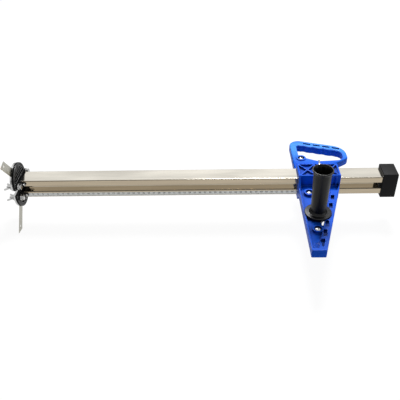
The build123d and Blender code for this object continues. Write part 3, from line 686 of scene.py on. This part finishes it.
class CUTTER_OT_ruler(Operator):
    """Print the ruler on the lower tube's front face"""

    bl_idname = "cutter.ruler"
    bl_label = "Ruler"

    def execute(self, context):
        look = context.scene.cutter_finish
        ruler = context.scene.cutter_ruler
        foot = TUBE_LOW[2] + ruler.margin
        ink = ruler_ink(look.ink)
        length = ruler.last - ruler.first
        start = TUBE_LOW[0] + ruler.margin
        ground = (ruler.last + ruler.margin - start, ruler.band)
        band = self.strip("ruler_ground", ground, (start, foot), ruler.lift)
        band.data.materials.append(ruler_ground(look.band))
        corner = (ruler.first - ruler.line / 2, foot)
        marks = []
        for name, step, height in (
            ("marks_mm", MM, ruler.short_mark),
            ("marks_half", CENTIMETRE / 2, ruler.middle_mark),
            ("marks_cm", CENTIMETRE, ruler.long_mark),
        ):
            mark = self.strip(name, (ruler.line, height), corner, 2 * ruler.lift)
            row = mark.modifiers.new("row", "ARRAY")
            row.use_relative_offset = False
            row.use_constant_offset = True
            row.constant_offset_displace = (step, 0, 0)
            row.count = round(length / step) + 1
            bpy.ops.object.modifier_apply(modifier=row.name)
            marks.append(mark)
        figure_foot = foot + ruler.long_mark + ruler.gap
        for number in range(round(ruler.first / CENTIMETRE), round(ruler.last / CENTIMETRE) + 1):
            marks.append(self.figure(str(number), number * CENTIMETRE, figure_foot, ruler))
        select_only(*marks)
        bpy.ops.object.join()
        marks[0].name = "ruler_marks"
        marks[0].data.materials.append(ink)
        for piece in (band, marks[0]):
            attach(piece, "frame")
        return {"FINISHED"}

    def strip(self, name, size, corner, lift):
        """Upright rectangle on the tube's front face, from its lower left corner, facing the user."""
        middle = (corner[0] + size[0] / 2, TUBE_LOW[1] - lift, corner[1] + size[1] / 2)
        bpy.ops.mesh.primitive_plane_add(size=1, location=middle, rotation=(math.pi / 2, 0, 0))
        strip = bpy.context.object
        strip.name = name
        strip.scale = (size[0], size[1], 1)
        select_only(strip)
        bpy.ops.object.transform_apply(location=True, rotation=True, scale=True)
        return strip

    def figure(self, text, x, z, ruler):
        """One number, its foot at height z, centred on its mark."""
        bpy.ops.object.text_add(location=(x, TUBE_LOW[1] - 2 * ruler.lift, z), rotation=(math.pi / 2, 0, 0))
        figure = bpy.context.object
        figure.data.body = text
        figure.data.size = ruler.figure
        figure.data.offset = ruler.weight
        figure.data.align_x = "CENTER"
        select_only(figure)
        bpy.ops.object.convert(target="MESH")
        bpy.ops.object.transform_apply(location=True, rotation=True, scale=True)
        return bpy.context.object


class CUTTER_OT_stage(Operator):
    """Build the floor, lamps and camera"""

    bl_idname = "cutter.stage"
    bl_label = "Stage"

    def execute(self, context):
        stage = context.scene.cutter_stage
        bpy.ops.object.select_all(action="DESELECT")
        bpy.ops.mesh.primitive_plane_add(size=stage.floor, location=(0, 0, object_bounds()[0][2]))
        floor = context.object
        floor.name = "floor"
        floor.data.materials.append(self.paper(stage))
        floor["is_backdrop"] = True
        self.room(context, stage)
        self.lamps(context, stage)
        self.camera(context, stage)
        context.scene.view_settings.view_transform = "Standard"
        return {"FINISHED"}

    def seen(self, tree):
        """One for a ray that shows the backdrop: to the camera, in gloss or through something clear."""
        rays = add(tree, "ShaderNodeLightPath", {})
        shown = rays.outputs["Is Camera Ray"]
        for kind in ("Is Glossy Ray", "Is Transmission Ray"):
            either = {0: shown, 1: rays.outputs[kind]}
            shown = add(tree, "ShaderNodeMath", either, operation="MAXIMUM").outputs[0]
        return shown

    def paper(self, stage):
        """Pale paper that shows as white, less the object's soft shadow."""
        material, tree, shader = new_material("studio_paper")
        tree.nodes.remove(shader)
        lit = add(tree, "ShaderNodeBsdfDiffuse", {"Color": linear(stage.paper)})
        faint = add(tree, "ShaderNodeBsdfDiffuse", {"Color": shade(linear(stage.paper), stage.shadow)})
        glow = add(tree, "ShaderNodeEmission", {"Color": linear(stage.white), "Strength": stage.glow})
        white = add(tree, "ShaderNodeAddShader", {0: faint.outputs[0], 1: glow.outputs[0]})
        parts = {0: self.seen(tree), 1: lit.outputs[0], 2: white.outputs[0]}
        mixed = add(tree, "ShaderNodeMixShader", parts)
        wire(tree, tree.nodes["Material Output"], {"Surface": mixed.outputs[0]})
        return material

    def room(self, context, stage):
        """Even light all round. The camera sees plain white, and metal sees white above a low dark wall."""
        world = bpy.data.worlds.new("studio")
        context.scene.world = world
        world.use_nodes = True
        tree = world.node_tree
        tree.nodes.clear()
        even = add(tree, "ShaderNodeBackground", {"Color": linear(stage.white), "Strength": stage.sky})
        rays = add(tree, "ShaderNodeLightPath", {})
        place = add(tree, "ShaderNodeTexCoord", {})
        parts = add(tree, "ShaderNodeSeparateXYZ", {0: place.outputs["Generated"]})
        rise = {"From Min": stage.wall_top, "From Max": stage.wall_end, "To Min": stage.wall}
        wall = add(tree, "ShaderNodeMapRange", {"Value": parts.outputs["Z"], **rise})
        either = {0: rays.outputs["Is Camera Ray"], 1: wall.outputs[0]}
        shown = add(tree, "ShaderNodeMath", either, operation="MAXIMUM").outputs[0]
        plain = add(tree, "ShaderNodeBackground", {"Color": linear(stage.white), "Strength": shown})
        halves = {0: self.seen(tree), 1: even.outputs[0], 2: plain.outputs[0]}
        mixed = add(tree, "ShaderNodeMixShader", halves)
        add(tree, "ShaderNodeOutputWorld", {"Surface": mixed.outputs[0]})

    def lamps(self, context, stage):
        """Key lamp behind the object and a weak fill at the right, both square and facing the same point."""
        for name, place, size, power in (
            ("key", stage.key_place, stage.key_size, stage.key),
            ("fill", stage.fill_place, stage.fill_size, stage.fill),
        ):
            bpy.ops.object.light_add(type="AREA", location=place)
            lamp = context.object
            lamp.name = name
            lamp.data.size = size
            lamp.data.energy = power
            lamp.rotation_euler = (Vector(stage.aim) - Vector(place)).to_track_quat("-Z", "Y").to_euler()

    def camera(self, context, stage):
        """Camera at the photograph's viewing angle."""
        bpy.ops.object.camera_add()
        camera = context.object
        camera.data.sensor_width = SENSOR_MM
        camera.data.lens = stage.lens
        camera.data.clip_start = stage.near
        turn = Matrix.Rotation(stage.yaw, 4, "Z") @ Matrix.Rotation(math.pi / 2 - stage.pitch, 4, "X")
        camera.matrix_world = Matrix.Translation(stage.place) @ turn @ Matrix.Rotation(stage.roll, 4, "Z")
        context.scene.camera = camera


class CUTTER_PT_panel(Panel):
    """Lists the steps in the sidebar"""

    bl_label = "Drywall Cutter"
    bl_idname = "CUTTER_PT_panel"
    bl_space_type = "VIEW_3D"
    bl_region_type = "UI"
    bl_category = "Drywall Cutter"

    def draw(self, context):
        for step in STEPS:
            self.layout.operator(step.bl_idname)


STEPS = (CUTTER_OT_metals, CUTTER_OT_body, CUTTER_OT_black_parts, CUTTER_OT_ruler, CUTTER_OT_stage)
SETTINGS = {
    "cutter_finish": FinishSettings,
    "cutter_edges": EdgeSettings,
    "cutter_ruler": RulerSettings,
    "cutter_stage": StageSettings,
}


def register():
    for cls in (*SETTINGS.values(), *STEPS, CUTTER_PT_panel):
        bpy.utils.register_class(cls)
    for name, group in SETTINGS.items():
        setattr(bpy.types.Scene, name, PointerProperty(type=group))


def unregister():
    for name in SETTINGS:
        delattr(bpy.types.Scene, name)
    for cls in (CUTTER_PT_panel, *reversed(STEPS), *SETTINGS.values()):
        bpy.utils.unregister_class(cls)


def main():
    bpy.ops.object.select_all(action="DESELECT")
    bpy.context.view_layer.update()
    register()
    bpy.ops.cutter.metals()
    bpy.ops.cutter.body()
    bpy.ops.cutter.black_parts()
    bpy.ops.cutter.ruler()
    bpy.ops.cutter.stage()


if __name__ == "__main__":
    main()
